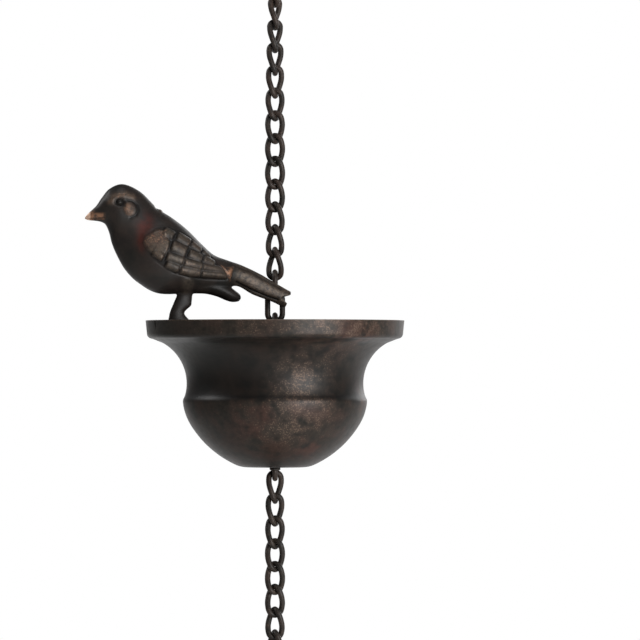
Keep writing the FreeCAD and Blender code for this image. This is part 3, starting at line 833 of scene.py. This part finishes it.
@dataclass
class CastBird:
    """Perched bird, one casting: loft from beak to tail, rump, two legs, then chased detail.

    The side view is in the bird's own XZ plane. Detail is a relief: the height to lift or sink the
    surface by, as a function of the side view alone, so both flanks carry it.
    """

    offset: float = 6.3
    swell: float = 10.3
    voxel: float = 0.34
    leg_spread: float = 2.1
    wing_rise: float = 0.5
    tile_rise: float = 0.75
    leg_stagger: float = 1.1
    eye_radius: float = 1.2
    eye_aside: float = 4.6

    # Top x and z, bottom x and z, and half width: as a share of the swell for the body.
    STATIONS = np.array([
        (-76.6, 39.2, -76.5, 38.2, 0.04), (-75.0, 40.9, -74.6, 37.8, 0.11),
        (-72.1, 43.5, -72.4, 37.7, 0.21), (-69.7, 46.9, -70.2, 37.3, 0.33),
        (-66.6, 50.3, -68.4, 36.3, 0.45), (-61.6, 51.9, -66.9, 33.1, 0.56),
        (-54.9, 49.0, -65.8, 28.8, 0.61), (-48.3, 42.8, -63.5, 23.7, 0.72),
        (-42.5, 39.1, -60.3, 18.6, 0.90), (-36.6, 34.6, -55.5, 14.1, 1.00),
        (-30.8, 29.0, -47.7, 10.1, 0.94), (-26.0, 25.0, -35.8, 10.2, 0.70),
        (-20.3, 22.9, -24.5, 10.5, 0.46), (-14.6, 21.0, -17.3, 13.1, 0.29),
        (-7.4, 17.7, -10.3, 9.7, 0.22), (0.8, 13.1, -2.5, 6.9, 0.20),
        (4.9, 10.9, 2.2, 4.6, 0.18)])
    RUMP = np.array([
        (-33.1, 16.6, -35.4, 10.1, 5.4), (-27.5, 16.0, -29.2, 10.0, 4.9),
        (-23.0, 14.7, -24.7, 9.0, 4.1), (-19.6, 12.8, -21.3, 7.6, 3.4),
        (-17.1, 11.1, -18.8, 6.9, 2.6), (-15.5, 9.8, -16.3, 7.1, 1.5),
        (-15.1, 8.6, -15.4, 7.9, 0.4)])
    LEG = np.array([
        (-39.2, 17.0, -33.4, 17.0, 2.3), (-40.1, 12.8, -34.2, 13.0, 1.9),
        (-41.0, 9.5, -34.9, 9.6, 1.5), (-42.3, 6.6, -35.1, 7.2, 1.35),
        (-42.9, 5.2, -35.4, 5.5, 1.3), (-43.5, 3.8, -37.4, 3.8, 1.3),
        (-43.9, 2.6, -38.1, 2.6, 1.3), (-44.2, 1.2, -37.2, 1.2, 1.35),
        (-44.5, -0.4, -35.9, -0.6, 1.4), (-45.1, -3.6, -37.4, -4.2, 1.4),
        (-45.6, -6.6, -40.4, -8.5, 1.3)])
    # Lines and outlines of the chased detail, x and z in the side view.
    FORK = np.array([(7.0, 10.4), (0.4, 8.6), (7.0, 3.2)])
    WING = np.array([
        (-21.6, 15.6), (-22.6, 18.2), (-26.6, 22.6), (-31.2, 26.6), (-36.9, 31.4), (-42.5, 34.2),
        (-47.2, 35.6), (-51.4, 35.0), (-55.4, 32.4), (-56.9, 29.4), (-55.2, 26.0), (-51.9, 23.0),
        (-48.6, 20.6), (-44.0, 18.0), (-38.0, 16.3), (-31.9, 15.6), (-25.0, 15.4)])
    SHOULDER = np.array([
        (-47.0, 34.4), (-51.0, 34.0), (-54.6, 31.6), (-55.6, 29.2), (-54.0, 26.4), (-51.4, 24.0),
        (-49.0, 22.4), (-47.4, 24.6), (-46.0, 27.0), (-45.6, 29.6), (-46.6, 31.8)])
    # Middle x and z, length, width and slope in degrees of every feather on the folded wing.
    FEATHERS = np.array([
        (-45.7, 32.9, 3.9, 3.3, -32), (-39.9, 30.6, 5.6, 3.4, -30), (-34.7, 27.9, 4.6, 2.8, -32),
        (-30.1, 25.4, 3.6, 2.2, -33), (-42.1, 27.0, 6.0, 4.1, -24), (-35.5, 24.3, 5.6, 3.2, -24),
        (-29.7, 22.4, 4.9, 2.5, -24), (-50.2, 24.5, 4.0, 2.4, -30), (-43.7, 23.3, 6.6, 3.3, -17),
        (-36.5, 21.1, 7.4, 3.1, -13), (-27.6, 19.6, 9.7, 2.3, -8), (-44.7, 20.2, 5.2, 3.0, -22),
        (-37.5, 18.4, 8.1, 2.9, -9), (-27.5, 17.3, 10.6, 2.3, -4)])
    BROW = np.array([(-67.4, 45.0), (-66.6, 46.4), (-64.4, 47.4), (-61.4, 47.7), (-59.0, 46.9)])
    EAR_GROOVE = np.array([
        (-61.6, 45.7), (-59.1, 45.3), (-57.5, 43.8), (-56.9, 41.8), (-58.1, 39.8), (-60.1, 38.9)])
    BEAK_LINE = np.array([(-77.2, 38.5), (-73.0, 38.4), (-69.6, 38.9)])
    TAIL_UPPER = np.array([(-18.8, 20.8), (-12.0, 18.6), (-6.2, 15.6), (0.5, 12.0)])
    TAIL_LOWER = np.array([(-17.6, 14.6), (-11.0, 11.4), (-5.1, 9.0), (-1.0, 7.8)])
    TIP_MARK = np.array([
        (-24.1, 20.7), (-21.7, 19.8), (-19.1, 20.3), (-20.0, 17.8), (-20.4, 15.0), (-21.7, 17.2)])
    THIGH, EYE, EAR = np.array([(-38.0, 13.7), (-64.1, 44.8), (-60.2, 42.3)])
    NAPE_NOTCH, NAPE_LUMP = np.array([(-48.7, 43.2), (-47.0, 41.9)])
    NECK, THROAT = np.array([(-54.3, 36.6), (-56.4, 30.6)])

    def loft(self, stations: Array, steps: int, around: int) -> Array:
        """Rings through the stations: middle + up * cos a + across * sin a at each ring.

        Args:
            stations: top x and z, bottom x and z, and half width of each ring.
            steps: rings from one station to the next.
            around: points on a ring.

        Returns:
            Grid of points.
        """
        rows = smooth_line(stations, steps)
        level = np.zeros(len(rows))
        top = np.stack([rows[:, 0], level, rows[:, 1]], axis=1)[:, None]
        low = np.stack([rows[:, 2], level, rows[:, 3]], axis=1)[:, None]
        angle = circle(around)[None, :, None]
        across = np.array([0.0, 1.0, 0.0]) * rows[:, 4][:, None, None]
        return (top + low) / 2 + (top - low) / 2 * np.cos(angle) + across * np.sin(angle)

    def blank(self) -> Patch:
        """The plain casting: every part grown together on a fine even grid of quads."""
        body = self.STATIONS.copy()
        body[:, 4] *= self.swell
        pieces = [capped(self.loft(body, 10, 64)), capped(self.loft(self.RUMP, 8, 40))]
        for side in (-1, 1):
            leg = self.loft(self.LEG, 6, 32)
            leg[:, :, 1] += side * self.leg_spread
            leg[:, :, 0] += max(side, 0) * self.leg_stagger
            pieces.append(capped(leg))
        solid = build_mesh("bird_blank", joined(pieces))
        fork = build_mesh("fork", capped(np.stack([
            np.stack([self.FORK[:, 0], np.full(3, y), self.FORK[:, 1]], axis=1)
            for y in (-9.0, 9.0)])))
        modify(solid, "REMESH", mode="VOXEL", voxel_size=self.voxel * MM)
        modify(solid, "BOOLEAN", operation="DIFFERENCE", object=fork, solver="FAST")
        modify(solid, "REMESH", mode="VOXEL", voxel_size=self.voxel * MM)
        modify(solid, "SMOOTH", factor=0.5, iterations=5)
        patch = read_mesh(solid)
        bpy.data.objects.remove(fork)
        return patch

    def feathers(self, side_view: Array) -> Array:
        """How far up its feather each point lies: 1 on top, 0 in the grooves.

        In a feather's own frame u runs along it and v across. Across it the height is that of an
        ellipse, the root of 1 - (v over its half width) squared, and it falls off near both ends.
        """
        middle, size = self.FEATHERS[None, :, :2], self.FEATHERS[None, :, 2:4] / 2
        slope = np.radians(self.FEATHERS[None, :, 4])
        away = side_view[:, None] - middle
        u = np.abs(away[..., 0] * np.cos(slope) + away[..., 1] * np.sin(slope))
        v = np.abs(away[..., 1] * np.cos(slope) - away[..., 0] * np.sin(slope))
        ends = np.sqrt(np.clip((size[..., 0] + 0.32 - u) / 0.7, 0.0, 1.0))
        sides = np.sqrt(np.clip(1.0 - (v / (size[..., 1] + 0.3)) ** 2, 0.0, 1.0))
        return (ends * sides).max(axis=1)

    def build(self) -> Patch:
        """Carve the plain casting and place it beside the chain.

        Returns:
            The bird in its cup's frame, with its point values.
        """
        patch = self.blank()
        normals = self.normals(patch)
        lift, patch.values = self.chased(patch.points, normals)
        patch.points = patch.points + normals * lift[:, None]
        patch = joined([patch] + [self.eye(side) for side in (-1, 1)])
        patch.points = patch.points - np.array([0.0, self.offset, 0.0])
        return patch

    def chased(self, points: Array, normals: Array) -> tuple[Array, dict[str, Array]]:
        """Relief and wear of the casting, each a sum of soft masks.

        Args:
            points: points of the plain casting.
            normals: normal at each point.

        Returns:
            Height to lift each point by, and the point values, which hold wear and stains as well
            as painted sheen and painted shade.
        """
        x, z, view = points[:, 0], points[:, 2], points[:, [0, 2]]
        flank = smooth_step(np.abs(normals[:, 1]), 0.15, 0.6)
        # The folded wing.
        above = z > 13.5
        margin = depth_in(view, self.WING)
        wing = smooth_step(margin, -0.15, 1.1) * above
        shoulder = smooth_step(depth_in(view, self.SHOULDER), -0.5, 0.9)
        tiles = self.feathers(view) * smooth_step(margin, -0.4, 0.3)
        front_edge = smooth_step(x - 0.7 * z, -73.5, -69.5)
        gaps = wing * (1.0 - np.maximum(tiles, shoulder)) * (0.25 + 0.75 * front_edge)
        border = np.exp(-(margin / 0.4) ** 2) * above * smooth_step(x, -54.0, -50.0)

        # The tail, the legs and the thigh over them.
        tail = smooth_step(x, -20.0, -16.0) * (z + 0.52 * x > 4.0)
        tip_mark = smooth_step(depth_in(view, self.TIP_MARK), -0.6, 0.7)
        tail_lines = line_mark(view, self.TAIL_LOWER, 0.45)
        tail_ridge = line_mark(view, self.TAIL_UPPER, 0.5) * tail
        legs = smooth_step(-z, -12.5, -10.0) * (x < -33.0)
        thigh = spot_mark(view, self.THIGH, (2.4, 3.6), 4)

        # The head and the neck.
        brow = line_mark(view, self.BROW, 1.15)
        ear_groove = line_mark(view, self.EAR_GROOVE, 0.42)
        ear = smooth_step(2.9 - np.linalg.norm(view - self.EAR, axis=1), -0.3, 1.6)
        cheek = ear * (1 - ear_groove) * smooth_step(x + 0.4 * z, -41.2, -44.6)
        eye_reach = np.linalg.norm((view - self.EYE) * np.array([0.82, 1.0]), axis=1)
        socket = 1.0 - smooth_step(eye_reach, 0.9, 2.3)
        beak_line = line_mark(view, self.BEAK_LINE, 0.35)
        tip = smooth_step(-x, 72.6, 75.2)
        strip = smooth_step(-z, -41.2, -39.8) * smooth_step(z, 37.8, 38.8)
        beak = np.maximum(smooth_step(-x, 68.8, 70.6) * strip, tip)
        notch, lump = (spot_mark(view, spot, (0.75, 0.75))
                       for spot in (self.NAPE_NOTCH, self.NAPE_LUMP))
        collar = shoulder * smooth_step(z - 0.35 * x, 44.5, 49.5)

        # How far the masks lift, rub, bare, shine with painted sheen, darken with painted shade and
        # stain the surface.
        relief = (self.wing_rise * smooth_step(margin, -1.2, 2.2) * above + 0.5 * shoulder
                  + self.tile_rise * tiles - 0.3 * gaps - 0.25 * border
                  + 0.4 * brow + 0.3 * ear - 0.42 * ear_groove - 0.75 * socket - 0.3 * beak_line
                  + 0.4 * tip_mark - 0.38 * tail_lines - 0.25 * tail_ridge + 0.6 * thigh)
        rub = (0.1 + 0.3 * tiles + 0.4 * shoulder + 0.6 * collar + 0.7 * brow + 0.3 * ear
               + 0.25 * tail + 0.7 * beak) * (0.35 + 0.65 * flank)
        edge = (np.maximum(0.66 * beak, tip) + 0.1 * brow + 0.33 * cheek + 0.62 * tip_mark
                + 0.3 * lump) * (1 - socket)
        # Painted sheen on the feathers' tops, the shoulder, the brow, the cheek and the tail, where
        # the metal is also polished.
        polish = (0.72 * tiles ** 2 + 0.9 * shoulder + 0.65 * brow + 0.35 * cheek
                  + 0.8 * tail) * flank
        # Painted shade in the feathers' gaps, along the wing's border, in the ear groove and eye
        # socket, and along the beak and tail lines.
        recess = np.maximum.reduce([0.85 * gaps, 0.45 * border, ear_groove, socket,
                                    0.6 * beak_line, tail_lines, 0.6 * tail_ridge]) * flank
        stain = (0.05 + 0.8 * spot_mark(view, self.NECK, (2.9, 3.3))
                 + 0.5 * spot_mark(view, self.THROAT, (1.5, 5.0)) + 0.4 * collar)
        # The thigh's 0.5 share of polish is a painted highlight on its bulge.
        values = {"rub": rub * (1 - legs) + 0.1 * legs, "stain": stain, "edge": edge,
                  "polish": polish * (1 - legs) + 0.5 * thigh, "recess": recess * (1 - legs)}
        return (relief * flank + 0.4 * lump - 0.35 * notch,
                {key: np.clip(value, 0.0, 1.0) for key, value in values.items()})

    def eye(self, side: int) -> Patch:
        """Bead of one eye: a half circle turned about its own axis, set in the socket."""
        bend = np.linspace(0.0, math.pi, 15)[1:-1]
        bead = turned_solid(self.eye_radius * np.sin(bend), -self.eye_radius * np.cos(bend), 24)
        bead.points += np.array([self.EYE[0], side * self.eye_aside, self.EYE[1]])
        # The bead is darkened with painted shade.
        return evenly(bead, rub=0.05, recess=0.5)

    def normals(self, patch: Patch) -> Array:
        """Normal at each point: the sum of its faces' diagonals crossed, made of length one."""
        total = np.zeros_like(patch.points)
        for faces in patch.faces:
            corners = patch.points[faces]
            cross = np.cross(corners[:, 2] - corners[:, 0], corners[:, -1] - corners[:, 1])
            for step in range(faces.shape[1]):
                np.add.at(total, faces[:, step], cross)
        return unit(total + 1e-12)


# The whole chain


@dataclass
class RainChain:
    """Runs of links with cups between them, hung one below another."""

    wire: ChainWire = field(default_factory=ChainWire)
    cup: SpunCup = field(default_factory=SpunCup)
    bird: CastBird = field(default_factory=CastBird)
    headings: tuple[float, ...] = (95.0, 15.0, -81.0, 41.0)
    loop_turn: float = 75.0
    top_links: int = 8
    span_links: int = 17
    end_links: int = 5
    chain_finish: AntiquedBronze = AntiquedBronze(
        "antiqued_bronze_wire", coat="121212", warm="1b1817", copper="5a493d", roughness=0.42,
        cloud_mm=9.0, speck_mm=0.7)
    cup_finish: AntiquedBronze = AntiquedBronze("antiqued_bronze_spun_sheet")
    bird_finish: AntiquedBronze = AntiquedBronze(
        "antiqued_bronze_casting", coat="141413", warm="221e1b", copper="a3785d", red="40140e",
        stain_low=0.3, roughness=0.4, cloud_mm=8.0, grain_mm=0.7, grain_depth_mm=0.08)

    def rims(self) -> list[float]:
        """Height of each cup's rim."""
        wire = self.wire
        top = wire.wire / 2 - wire.link_half
        first = top - (self.top_links - 1) * wire.pitch - wire.last_link_middle
        span = wire.first_link_middle - (self.span_links - 1) * wire.pitch - wire.last_link_middle
        return [first + place * span for place in range(len(self.headings))]

    def show(self, kind: str, number: int, body: str, patch: Patch, finish: bpy.types.Material,
             sharp_degrees: float = 180.0) -> None:
        """Make one piece and put it in place of its node.

        Args:
            kind: what the piece is, as in its node's name.
            number: which one, from the top.
            body: body that it rides on.
            patch: surface in the row frame.
            finish: its material.
            sharp_degrees: edges that bend more than this stay crisp.
        """
        node = f"{kind}_{number}"
        piece = build_mesh(f"{node}_finished", patch, sharp_degrees)
        piece.data.materials.append(finish)
        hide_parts(node)
        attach(piece, body)
        LOG.info("%s: %d points on body %s", piece.name, len(patch.points), body)

    def build(self) -> None:
        """Build every piece, from the top down."""
        chain, sheet, cast = (finish.build() for finish in (
            self.chain_finish, self.cup_finish, self.bird_finish))
        wire = self.wire
        below = self.loop_turn + 90 + wire.twist / 2
        above = self.loop_turn - 90 - wire.twist / 2
        rims = self.rims()
        cup = self.cup.build(wire, self.loop_turn)
        bird = self.bird.build()
        turn = self.headings[0] + above + (self.top_links - 1) * wire.slack_turn
        run = wire.run(wire.wire / 2 - wire.link_half, turn, self.top_links, -wire.slack_turn)
        self.show("chain", 1, "chain_1", run, chain)
        for number, (heading, rim) in enumerate(zip(self.headings, rims), start=1):
            body = f"cup_{number}"
            plane = heading + self.loop_turn
            self.show("cup", number, body, cup.placed(heading, rim), sheet, 40.0)
            self.show("bird", number, body, bird.placed(heading, rim), cast)
            for kind, patch, facing, height in (
                    ("long_loop", wire.long_loop(), plane, rim),
                    ("weld_beads", wire.weld_beads(), plane, rim),
                    ("tail_link", wire.tail_link(), plane - 90, rim + wire.tail_link_middle),
                    ("closing_link", wire.closing_link(), plane, rim + wire.closing_middle)):
                self.show(kind, number, body, patch.placed(facing, height), chain)
            start, count, step = heading + below, self.end_links, -wire.slack_turn
            if number < len(self.headings):
                count = self.span_links
                # A link looks the same after half a turn, so the whole run turns by the angle
                # between -225 and -45 degrees that brings its last link onto the cup below.
                wanted = self.headings[number] + above - start
                step = ((wanted + 45) % 180 - 225) / (count - 1)
            run = wire.run(rim + wire.first_link_middle, start, count, step)
            self.show("chain", number + 1, f"chain_{number + 1}", run, chain)


# Surroundings


@dataclass
class Studio:
    """Plain pale room: white behind, soft light from the right front, floor under the chain.

    A lamp's row is its name, place in metres from the framed rim, size in metres and watts.
    """

    framed_rim: float
    lowest: float
    backdrop_turn: float = 15.0
    sky_strength: float = 0.15
    floor_drop: float = 0.06

    WHITE = (1.0, 1.0, 1.0, 1.0)
    LAMPS = (("right_front", (1.05, -1.34, -0.05), (1.05, 1.1), 37.0),
             ("left_above", (-1.2, 0.3, 0.95), (0.7, 0.7), 10.0),
             ("overhead", (0.2, -0.6, 1.5), (0.9, 0.9), 10.0),
             ("right_behind", (1.0, 1.5, 0.6), (1.1, 1.1), 8.0))

    def lamp(self, name: str, place: Sequence[float], target: Sequence[float], size: Pair,
             watts: float) -> None:
        """Soft rectangular lamp turned to a target."""
        light = bpy.data.lights.new(name, "AREA")
        light.shape, light.size, light.size_y, light.energy = "RECTANGLE", size[0], size[1], watts
        lamp = linked(name, light)
        lamp.location = place
        lamp.rotation_euler = (Vector(target) - Vector(place)).to_track_quat("-Z", "Y").to_euler()

    def camera(self) -> None:
        """Almost level camera in front of the framed cup, which stands left of the middle."""
        lens = bpy.data.cameras.new("camera")
        wide = FRAME_PIXELS * MM_PER_PIXEL * MM
        lens.sensor_width = SENSOR_MM
        lens.lens = SENSOR_MM * CAMERA_DISTANCE / wide
        lens.clip_end = 100.0
        camera = linked("camera", lens)
        across = (FRAME_PIXELS / 2 - CHAIN_AXIS_PIXEL) * MM_PER_PIXEL * MM
        up = (RIM_PIXEL - FRAME_PIXELS / 2) * MM_PER_PIXEL * MM
        drop = CAMERA_DROP_MM * MM
        camera.location = (across, -CAMERA_DISTANCE, self.framed_rim * MM + up - drop)
        camera.rotation_euler = (math.pi / 2 + math.atan(drop / CAMERA_DISTANCE), 0.0, 0.0)
        bpy.context.scene.camera = camera

    def behind(self, tree: Tree, way: Socket, low: float, high: float) -> Socket:
        """Rise from 0 to 1 as a direction turns to the backdrop, a little to the right."""
        turn = math.radians(self.backdrop_turn)
        ahead = add_node(tree, "ShaderNodeVectorMath", {"operation": "DOT_PRODUCT"},
                         {1: (math.sin(turn), math.cos(turn), 0.0)}, {0: way})
        return between(tree, ahead.outputs["Value"], low, high)

    def seen_share(self, tree: Tree, backdrop: Socket) -> Socket:
        """Share of white for rays from the camera, from gloss and through glass.

        Args:
            tree: node tree that takes the nodes.
            backdrop: how white the room is for gloss, in each direction.

        Returns:
            1 where the white room shows.
        """
        path = add_node(tree, "ShaderNodeLightPath").outputs
        clear = combined(tree, "MAXIMUM", path["Is Camera Ray"], path["Is Transmission Ray"])
        gloss = combined(tree, "MULTIPLY", path["Is Glossy Ray"], backdrop)
        return combined(tree, "MAXIMUM", clear, gloss)

    def world(self) -> None:
        """White where it is seen, and a plain grey sky of light elsewhere."""
        world = bpy.data.worlds.new("room")
        bpy.context.scene.world = world
        world.use_nodes = True
        tree = world.node_tree
        tree.nodes.clear()
        sky, white = (add_node(tree, "ShaderNodeBackground", None,
                               {"Color": self.WHITE, "Strength": strength}).outputs[0]
                      for strength in (self.sky_strength, 1.0))
        way = add_node(tree, "ShaderNodeTexCoord").outputs["Generated"]
        share = self.seen_share(tree, self.behind(tree, way, 0.6, 1.0))
        mix = add_node(tree, "ShaderNodeMixShader", links={0: share, 1: sky, 2: white})
        add_node(tree, "ShaderNodeOutputWorld", links={"Surface": mix.outputs[0]})

    def floor(self) -> None:
        """Pale floor that fades to the white of the room away from the chain."""
        radius = np.array([0.0, 0.4, 0.9, 1.8, 4.0, 9.0])[:, None] / MM
        sides = 64
        angle = circle(sides)[None]
        level = np.full((len(radius), sides), (self.lowest - self.floor_drop) / MM)
        points = np.stack([radius * np.cos(angle), radius * np.sin(angle), level], axis=-1)
        floor = build_mesh("floor", Patch(points.reshape(-1, 3),
                                          [grid_faces(len(radius), sides, False)]))
        material, tree, shader = new_material("pale_matt_floor")
        shader.inputs["Base Color"].default_value = linear("f0efec")
        shader.inputs["Roughness"].default_value = 0.9
        place = add_node(tree, "ShaderNodeTexCoord").outputs["Object"]
        flat = add_node(tree, "ShaderNodeVectorMath", {"operation": "MULTIPLY"},
                        {1: (1.0, 1.0, 0.0)}, {0: place}).outputs[0]
        reach, way = (add_node(tree, "ShaderNodeVectorMath", {"operation": kind}, None,
                               {0: flat}).outputs for kind in ("LENGTH", "NORMALIZE"))
        seen = self.seen_share(tree, self.behind(tree, way[0], 0.3, 0.95))
        share = combined(tree, "MULTIPLY", between(tree, reach["Value"], 0.2, 1.25), seen)
        glow = add_node(tree, "ShaderNodeEmission", None, {"Color": self.WHITE, "Strength": 1.0})
        mix = add_node(tree, "ShaderNodeMixShader",
                       links={0: share, 1: shader.outputs[0], 2: glow.outputs[0]})
        tree.links.new(mix.outputs[0], tree.nodes["Material Output"].inputs["Surface"])
        floor.data.materials.append(material)
        floor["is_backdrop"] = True

    def build(self) -> None:
        """Set up the floor, the world, the camera and the lamps."""
        level = self.framed_rim * MM
        self.floor()
        self.world()
        self.camera()
        for name, (x, y, z), size, watts in self.LAMPS:
            self.lamp(name, (x, y, level + z), (0.0, 0.0, level - 0.03), size, watts)
        bpy.context.scene.view_settings.view_transform = "Standard"


def corners(box: tuple[Vector, Vector]) -> list[list[float]]:
    """Box corners as plain lists."""
    return [list(corner) for corner in box]


def main() -> None:
    """Build the chain and its surroundings."""
    logging.basicConfig(level=logging.INFO, format="%(name)s %(message)s")
    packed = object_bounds()
    chain = RainChain()
    chain.build()
    Studio(chain.rims()[FRAMED_CUP - 1], packed[0].z).build()


if __name__ == "__main__":
    main()
